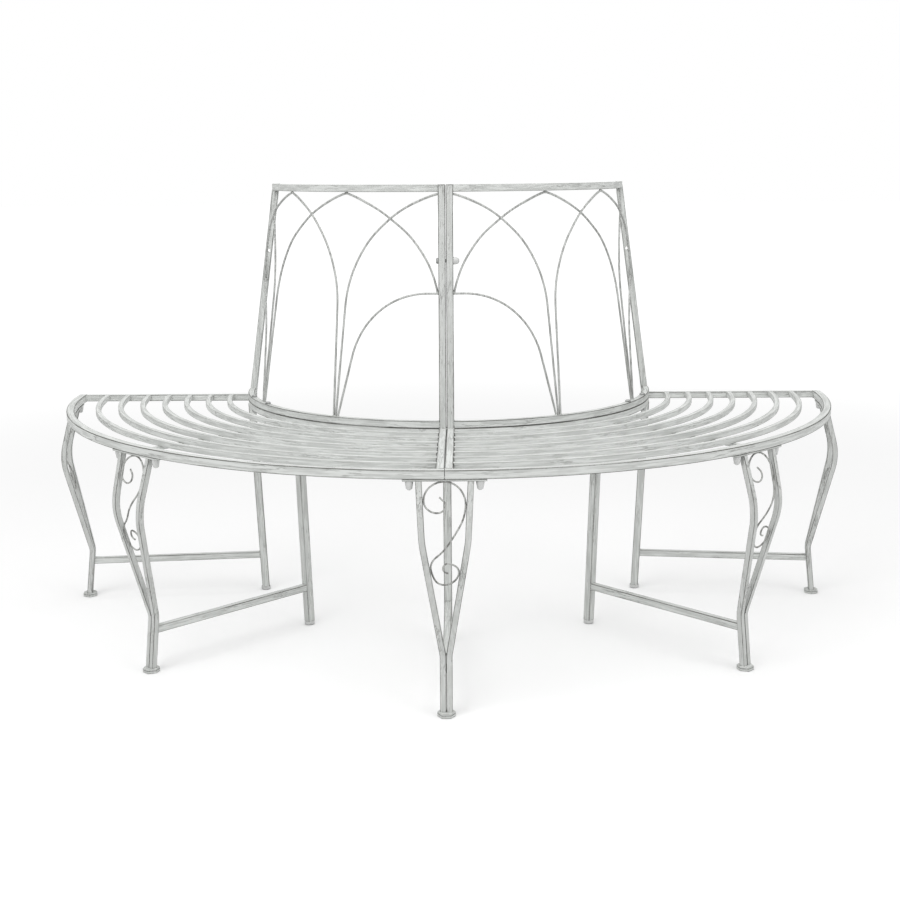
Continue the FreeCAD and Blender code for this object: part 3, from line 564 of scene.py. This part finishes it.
def near_boxes(first, second, gap):
    """Whether two boxes, each a lowest and a highest corner, come within a gap of each other."""
    pairs = zip(*first, *second)
    return all(low - gap < far and near - gap < high for low, high, near, far in pairs)


def welded(first, second):
    """Whether two pieces are joined by welding, where they touch."""
    if first == second or first.endswith(WELD_NONE) or second.endswith(WELD_NONE):
        return False
    return not any(
        (first.endswith(one) and second.endswith(other)) or (first.endswith(other) and second.endswith(one))
        for one, other in BOLTED
    )


def touching_runs(edge, other):
    """Stretches of an edge that lie on another piece, each a list of places."""
    first, second = (vertex.co.copy() for vertex in edge.verts)
    steps = max(2, round((second - first).length / BEAD_STEP))
    runs = [[]]
    for step in range(steps + 1):
        place = first.lerp(second, step / steps)
        if other.find_nearest(place, TOUCH)[0] is not None:
            runs[-1].append(place)
        elif runs[-1]:
            runs.append([])
    return [run for run in runs if len(run) > 2 and (run[-1] - run[0]).length > BEAD_LEAST]


def is_outer_run(run, edge, own, other):
    """Whether a run lies outside its own piece, not in the hollow of a tube."""
    middle = run[len(run) // 2]
    away = other.find_nearest(middle)[1]
    side = min(edge.link_faces, key=lambda face: abs(face.normal.dot(away)))
    start = middle + side.normal * RAY_START
    for turn in (1, -1):
        if own.ray_cast(start + away * turn * RAY_START, side.normal, RAY_LENGTH)[0] is not None:
            return False
    return True


def add_bead(shape, run, size):
    """A closed tube along a run of places, of uneven thickness and thin at both ends."""
    along = (run[-1] - run[0]).normalized()
    across = along.orthogonal().normalized()
    upward = along.cross(across)
    turns = [2 * math.pi * side / BEAD_SIDES for side in range(BEAD_SIDES)]
    rings = []
    for place in run:
        radius = size * (BEAD_END if place in (run[0], run[-1]) else random.uniform(*BEAD_RANGE))
        ring = [place + radius * (math.cos(turn) * across + math.sin(turn) * upward) for turn in turns]
        rings.append([shape.verts.new(held(corner)) for corner in ring])
    for near, far in zip(rings, rings[1:]):
        for side in range(BEAD_SIDES):
            after = (side + 1) % BEAD_SIDES
            shape.faces.new((near[side], near[after], far[after], far[side]))
    shape.faces.new(reversed(rings[0]))
    shape.faces.new(rings[-1])


def add_lump(shape, place, size):
    """A blob of weld, uneven all round."""
    made = bmesh.ops.create_icosphere(shape, subdivisions=LUMP_DIVISIONS, radius=size)
    for vertex in made["verts"]:
        vertex.co = held(place + vertex.co * random.uniform(*LUMP_RANGE))


def islands(shape):
    """The separate solids of a shape, each as places along its edges, its box and a search tree."""
    found = []
    for vertex in shape.verts:
        vertex.tag = False
    for first in shape.verts:
        if first.tag:
            continue
        first.tag = True
        members = [first]
        for vertex in members:
            for edge in vertex.link_edges:
                other = edge.other_vert(vertex)
                if not other.tag:
                    other.tag = True
                    members.append(other)
        found.append(measured(members))
    return found


def measured(members):
    """Places along the edges of the solid that these corners make, its box and its search tree."""
    index = {vertex: number for number, vertex in enumerate(members)}
    faces = []
    edges = []
    for vertex in members:
        faces += [face for face in vertex.link_faces if face.verts[0] == vertex]
        edges += [edge for edge in vertex.link_edges if edge.verts[0] == vertex]
    places = []
    for edge in edges:
        first, second = (vertex.co for vertex in edge.verts)
        steps = max(1, math.ceil((second - first).length / WIRE_STEP))
        places += [first.lerp(second, step / steps) for step in range(steps)]
    corners = [vertex.co.copy() for vertex in members]
    tree = BVHTree.FromPolygons(corners, [[index[vertex] for vertex in face.verts] for face in faces])
    box = [Vector(extreme(axis) for axis in zip(*corners)) for extreme in (min, max)]
    return places, box, tree


def touches(places, box, other_box, other_tree):
    """Places where one solid comes up to another, gathered into spots."""
    if not near_boxes(box, other_box, WIRE_TOUCH):
        return []
    spots = []
    for place in places:
        near = other_tree.find_nearest(place, WIRE_TOUCH)[0]
        if near is None:
            continue
        middle = (place + near) / 2
        spot = next((spot for spot in spots if (spot[0] - middle).length < LUMP_SPACING), None)
        if spot:
            spot.append(middle)
        else:
            spots.append([middle])
    return [sum(spot, Vector()) / len(spot) for spot in spots]


def family(name):
    """Which of the three large groups of welds a node belongs to."""
    if "_back_" in name:
        return "back"
    return "seat" if "seat_" in name else "leg"


# Each CAD node's box, shape and search tree
node_boxes = {name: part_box(name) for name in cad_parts}
node_shapes = {name: plain_shape(node) for name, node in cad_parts.items()}
node_trees = {name: BVHTree.FromBMesh(shape) for name, shape in node_shapes.items()}


def neighbours(name, gap):
    """The nodes that may be welded to this one."""
    return [
        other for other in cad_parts
        if welded(name, other) and near_boxes(node_boxes[name], node_boxes[other], gap)
    ]


def add_beads(name, shapes):
    """Beads round the ends of a square piece; those of a slat are upright, and bare beside the seam."""
    edges = [
        edge for edge in node_shapes[name].edges
        if len(edge.link_faces) == 2 and edge.is_convex and edge.calc_face_angle() > EDGE_TURN
    ]
    is_slat = "slat" in name
    for other in neighbours(name, TOUCH):
        if not is_slat and "slat" in other:
            continue
        bare = is_slat and other.endswith("seam_rail")
        shape = shapes["bare"] if bare else shapes[family(name)]
        for edge in edges:
            for run in touching_runs(edge, node_trees[other]):
                direction = (run[-1] - run[0]).normalized()
                if is_slat and abs(direction.z) < UPRIGHT_LEAST:
                    continue
                if is_outer_run(run, edge, node_trees[name], node_trees[other]):
                    add_bead(shape, run, BARE_RADIUS if bare else BEAD_RADIUS)


def add_lumps(name, shape, size):
    """Lumps where the wires of a node cross and where they meet their neighbours."""
    solids = islands(node_shapes[name])
    others = [(node_boxes[other], node_trees[other]) for other in neighbours(name, WIRE_TOUCH)]
    for number, (places, box, tree) in enumerate(solids):
        within = [(other_box, other_tree) for _, other_box, other_tree in solids[number + 1:]]
        for other_box, other_tree in within + others:
            for spot in touches(places, box, other_box, other_tree):
                add_lump(shape, spot, size)


def add_ankle_lump(name, shape):
    """One lump at the fork above a foot, on the side that faces away from the tree."""
    (places, box, tree), (_, other_box, other_tree) = islands(node_shapes[name])
    spots = [place for place in places if other_tree.find_nearest(place, ANKLE_TOUCH)[0] is not None]
    fork = max(place.z for place in spots)
    nearby = [place for place in spots if place.z > fork - LUMP_SPACING]
    outmost = max(nearby, key=lambda place: place.xy.length)
    add_lump(shape, Vector((outmost.x, outmost.y, fork)), ANKLE_LUMP)


def weld_nodes():
    """The welds of all nodes, one piece for each kind."""
    shapes = {kind: bmesh.new() for kind in WELD_KINDS}
    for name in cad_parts:
        if finish_of(name)[1]:
            add_beads(name, shapes)
        if name.endswith("tracery"):
            add_lumps(name, shapes["wire"], WIRE_LUMP)
        if name.endswith("scroll"):
            add_lumps(name, shapes["scroll"], SCROLL_LUMP)
        if name.endswith("outer_leg"):
            add_ankle_lump(name, shapes["bare"])
    for kind, shape in shapes.items():
        piece = new_piece(kind + "_welds", shape, WELD_FINISHES.get(kind, "weld"))
        piece.data.shade_smooth()


# Studio

def seen_directly(tree):
    """1 for what the camera sees, also in a mirror or through glass, and 0 for light on surfaces."""
    path = add(tree, "ShaderNodeLightPath").outputs
    seen = math_node(tree, "ADD", path["Is Camera Ray"], path["Is Glossy Ray"])
    return math_node(tree, "ADD", seen, path["Is Transmission Ray"], clamp=True)


def stage_material():
    """A pale floor, lifted to white where it is seen directly; it keeps the bench's shadow."""
    material, tree = new_material("stage_pale")
    shade = add(tree, "ShaderNodeBsdfDiffuse")
    shade.inputs["Color"].default_value = FLOOR_COLOUR
    far = window(tree, round_the_tree(tree)[1], (FLOOR_NEAR, FLOOR_FAR))
    rise = weighted(tree, (far, FLOOR_LIFT_FAR - FLOOR_LIFT_NEAR), (1.0, FLOOR_LIFT_NEAR))
    glow = add(tree, "ShaderNodeEmission")
    tree.links.new(math_node(tree, "MULTIPLY", seen_directly(tree), rise), glow.inputs["Strength"])
    both = add(tree, "ShaderNodeAddShader")
    tree.links.new(shade.outputs[0], both.inputs[0])
    tree.links.new(glow.outputs[0], both.inputs[1])
    tree.links.new(both.outputs[0], add(tree, "ShaderNodeOutputMaterial").inputs[0])
    return material


def studio_world():
    """An even sky that lights softly and is white where it is seen directly."""
    world = bpy.data.worlds.new("studio_world")
    bpy.context.scene.world = world
    world.use_nodes = True
    tree = world.node_tree
    background = tree.nodes["Background"]
    background.inputs["Color"].default_value = SKY_COLOUR
    extra = math_node(tree, "MULTIPLY", seen_directly(tree), 1.0 - SKY_LIGHT)
    tree.links.new(math_node(tree, "ADD", extra, SKY_LIGHT), background.inputs["Strength"])


def studio_floor():
    bpy.ops.mesh.primitive_plane_add(size=FLOOR_SIZE, location=(0, 0, -FLOOR_DROP))
    floor = bpy.context.object
    floor.name = "floor"
    give_material(floor, stage_material())


def area_lamp(name, place, size, power):
    data = bpy.data.lights.new(name, "AREA")
    data.shape = "SQUARE"
    data.size = size
    data.energy = power
    lamp = bpy.data.objects.new(name, data)
    lamp.location = place
    lamp.rotation_euler = (Vector(LAMP_AIM) - Vector(place)).to_track_quat("-Z", "Y").to_euler()
    bpy.context.scene.collection.objects.link(lamp)


def camera():
    """The camera, from its place and from the angles at which it looks."""
    data = bpy.data.cameras.new("camera")
    data.lens = CAMERA_LENS
    data.sensor_width = SENSOR
    data.clip_start = CLIP_NEAR
    data.clip_end = CLIP_FAR
    eye = bpy.data.objects.new("camera", data)
    yaw, pitch, roll = (math.radians(angle) for angle in (CAMERA_YAW, CAMERA_PITCH, CAMERA_ROLL))
    forward = Vector((math.sin(yaw) * math.cos(pitch), math.cos(yaw) * math.cos(pitch), -math.sin(pitch)))
    level = Vector((math.cos(yaw), -math.sin(yaw), 0))
    upright = level.cross(forward)
    right = level * math.cos(roll) + upright * math.sin(roll)
    up = upright * math.cos(roll) - level * math.sin(roll)
    turn = Matrix((right, up, -forward)).transposed().to_4x4()
    eye.matrix_world = Matrix.Translation(CAMERA_PLACE) @ turn
    bpy.context.scene.collection.objects.link(eye)
    bpy.context.scene.camera = eye


dress_nodes()
weld_nodes()
studio_floor()
studio_world()
for name, place, size, power in LAMPS:
    area_lamp(name, place, size, power)
camera()
bpy.context.scene.view_settings.view_transform = "Standard"
